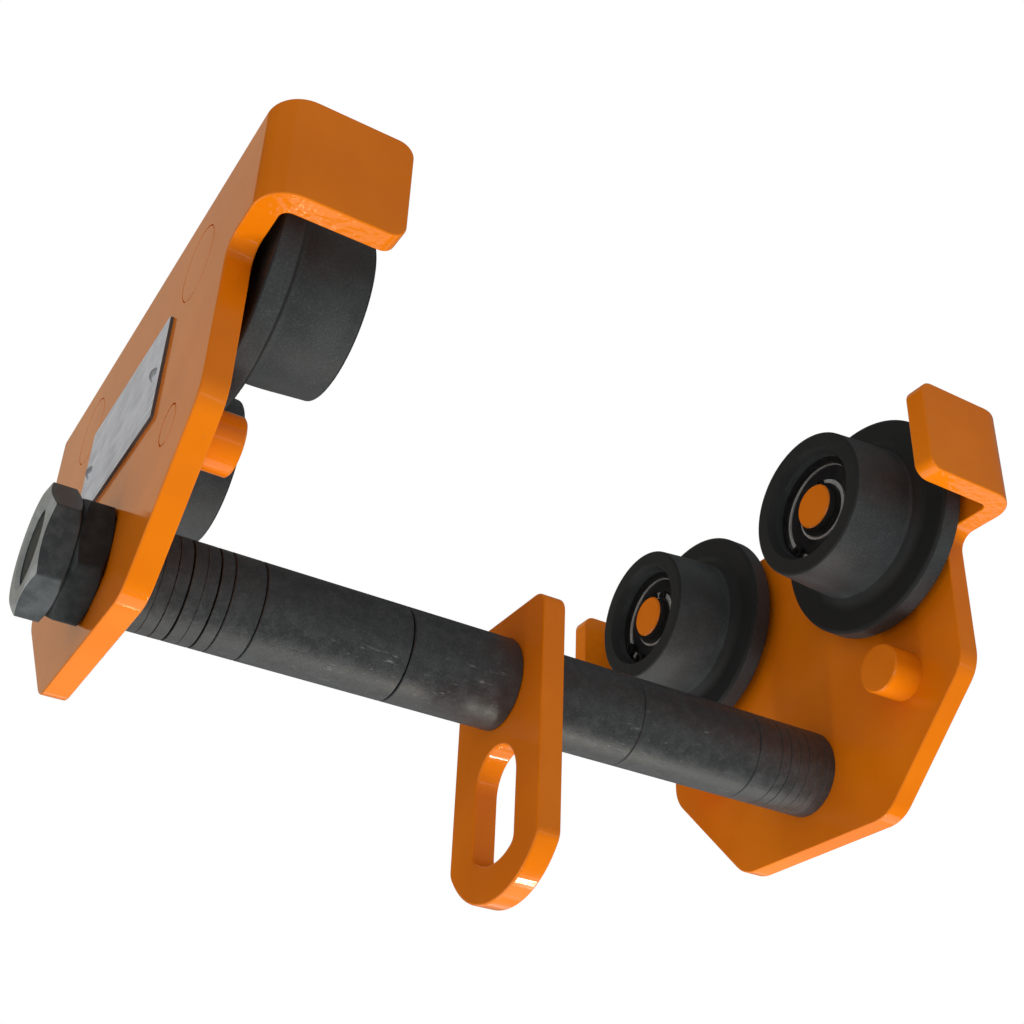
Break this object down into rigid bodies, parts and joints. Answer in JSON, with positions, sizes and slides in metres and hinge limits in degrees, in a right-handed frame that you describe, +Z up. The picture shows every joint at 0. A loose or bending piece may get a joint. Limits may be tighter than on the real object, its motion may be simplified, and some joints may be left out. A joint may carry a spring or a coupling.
{
  "type": "manual beam trolley",
  "caption": "Push-type trolley that rolls on the lower flange of a steel beam and carries a load on a swinging hook plate.",
  "frame": {"origin": "middle of the running plane, on which the wheel treads stand, midway between the side plates and between the axles", "axes": "+X across the beam towards the right side plate, +Y along the beam towards the rear axles, +Z up"},
  "size_m": [0.3196, 0.219, 0.1958],
  "materials": {
    "orange_paint": "glossy powder coat",
    "wheel_steel": "fine matte black",
    "black_steel": "blackened, oiled",
    "bearing_steel": "ground",
    "shield_steel": "dark pressed sheet",
    "spring_steel": "oiled spring steel",
    "bare_metal": "brushed"
  },
  "bodies": {
    "carriage": {"left_side_plate": "orange_paint", "right_side_plate": "orange_paint", "front_left_axle": "orange_paint", "front_left_bearing_inner_ring": "bearing_steel", "front_left_axle_circlip": "spring_steel", "front_left_anti_lift_pin": "orange_paint", "front_right_axle": "orange_paint", "front_right_bearing_inner_ring": "bearing_steel", "front_right_axle_circlip": "spring_steel", "front_right_anti_lift_pin": "orange_paint", "rear_left_axle": "orange_paint", "rear_left_bearing_inner_ring": "bearing_steel", "rear_left_axle_circlip": "spring_steel", "rear_left_anti_lift_pin": "orange_paint", "rear_right_axle": "orange_paint", "rear_right_bearing_inner_ring": "bearing_steel", "rear_right_axle_circlip": "spring_steel", "rear_right_anti_lift_pin": "orange_paint", "load_shaft": "black_steel", "left_short_sleeve": "black_steel", "left_long_sleeve": "black_steel", "left_thick_spacer": "black_steel", "left_washers": "black_steel", "left_inner_nut": "black_steel", "left_outer_nut": "black_steel", "right_short_sleeve": "black_steel", "right_long_sleeve": "black_steel", "right_thick_spacer": "black_steel", "right_washers": "black_steel", "right_inner_nut": "black_steel", "right_outer_nut": "black_steel", "data_plate": "bare_metal", "data_plate_rivets": "bare_metal"},
    "front_left_wheel_set": {"front_left_wheel": "wheel_steel", "front_left_bearing_outer_ring": "bearing_steel", "front_left_bearing_shields": "shield_steel", "front_left_hub_circlip": "spring_steel"},
    "front_left_ball_set": {"front_left_bearing_cage": "bearing_steel", "front_left_bearing_balls": "bearing_steel"},
    "front_right_wheel_set": {"front_right_wheel": "wheel_steel", "front_right_bearing_outer_ring": "bearing_steel", "front_right_bearing_shields": "shield_steel", "front_right_hub_circlip": "spring_steel"},
    "front_right_ball_set": {"front_right_bearing_cage": "bearing_steel", "front_right_bearing_balls": "bearing_steel"},
    "rear_left_wheel_set": {"rear_left_wheel": "wheel_steel", "rear_left_bearing_outer_ring": "bearing_steel", "rear_left_bearing_shields": "shield_steel", "rear_left_hub_circlip": "spring_steel"},
    "rear_left_ball_set": {"rear_left_bearing_cage": "bearing_steel", "rear_left_bearing_balls": "bearing_steel"},
    "rear_right_wheel_set": {"rear_right_wheel": "wheel_steel", "rear_right_bearing_outer_ring": "bearing_steel", "rear_right_bearing_shields": "shield_steel", "rear_right_hub_circlip": "spring_steel"},
    "rear_right_ball_set": {"rear_right_bearing_cage": "bearing_steel", "rear_right_bearing_balls": "bearing_steel"},
    "hook": {"hook_plate": "orange_paint"}
  },
  "joints": [
    {"name": "front_left_wheel_spin", "type": "hinge", "parent": "carriage", "child": "front_left_wheel_set", "pos_m": [-0.1082, -0.0522, 0.029], "axis": [1, 0, 0], "continuous": true},
    {"name": "front_left_ball_set_spin", "type": "hinge", "parent": "carriage", "child": "front_left_ball_set", "pos_m": [-0.1082, -0.0522, 0.029], "axis": [1, 0, 0], "continuous": true},
    {"name": "front_right_wheel_spin", "type": "hinge", "parent": "carriage", "child": "front_right_wheel_set", "pos_m": [0.1082, -0.0522, 0.029], "axis": [1, 0, 0], "continuous": true},
    {"name": "front_right_ball_set_spin", "type": "hinge", "parent": "carriage", "child": "front_right_ball_set", "pos_m": [0.1082, -0.0522, 0.029], "axis": [1, 0, 0], "continuous": true},
    {"name": "rear_left_wheel_spin", "type": "hinge", "parent": "carriage", "child": "rear_left_wheel_set", "pos_m": [-0.1082, 0.0522, 0.029], "axis": [1, 0, 0], "continuous": true},
    {"name": "rear_left_ball_set_spin", "type": "hinge", "parent": "carriage", "child": "rear_left_ball_set", "pos_m": [-0.1082, 0.0522, 0.029], "axis": [1, 0, 0], "continuous": true},
    {"name": "rear_right_wheel_spin", "type": "hinge", "parent": "carriage", "child": "rear_right_wheel_set", "pos_m": [0.1082, 0.0522, 0.029], "axis": [1, 0, 0], "continuous": true},
    {"name": "rear_right_ball_set_spin", "type": "hinge", "parent": "carriage", "child": "rear_right_ball_set", "pos_m": [0.1082, 0.0522, 0.029], "axis": [1, 0, 0], "continuous": true},
    {"name": "hook_swing", "type": "hinge", "parent": "carriage", "child": "hook", "pos_m": [0.00325, 0, -0.0505], "axis": [1, 0, 0], "continuous": true}
  ],
  "couplings": [
    {"joint": "front_left_ball_set_spin", "follows": "front_left_wheel_spin", "ratio": 0.61837},
    {"joint": "front_right_ball_set_spin", "follows": "front_right_wheel_spin", "ratio": 0.61837},
    {"joint": "rear_left_ball_set_spin", "follows": "rear_left_wheel_spin", "ratio": 0.61837},
    {"joint": "rear_right_ball_set_spin", "follows": "rear_right_wheel_spin", "ratio": 0.61837}
  ]
}
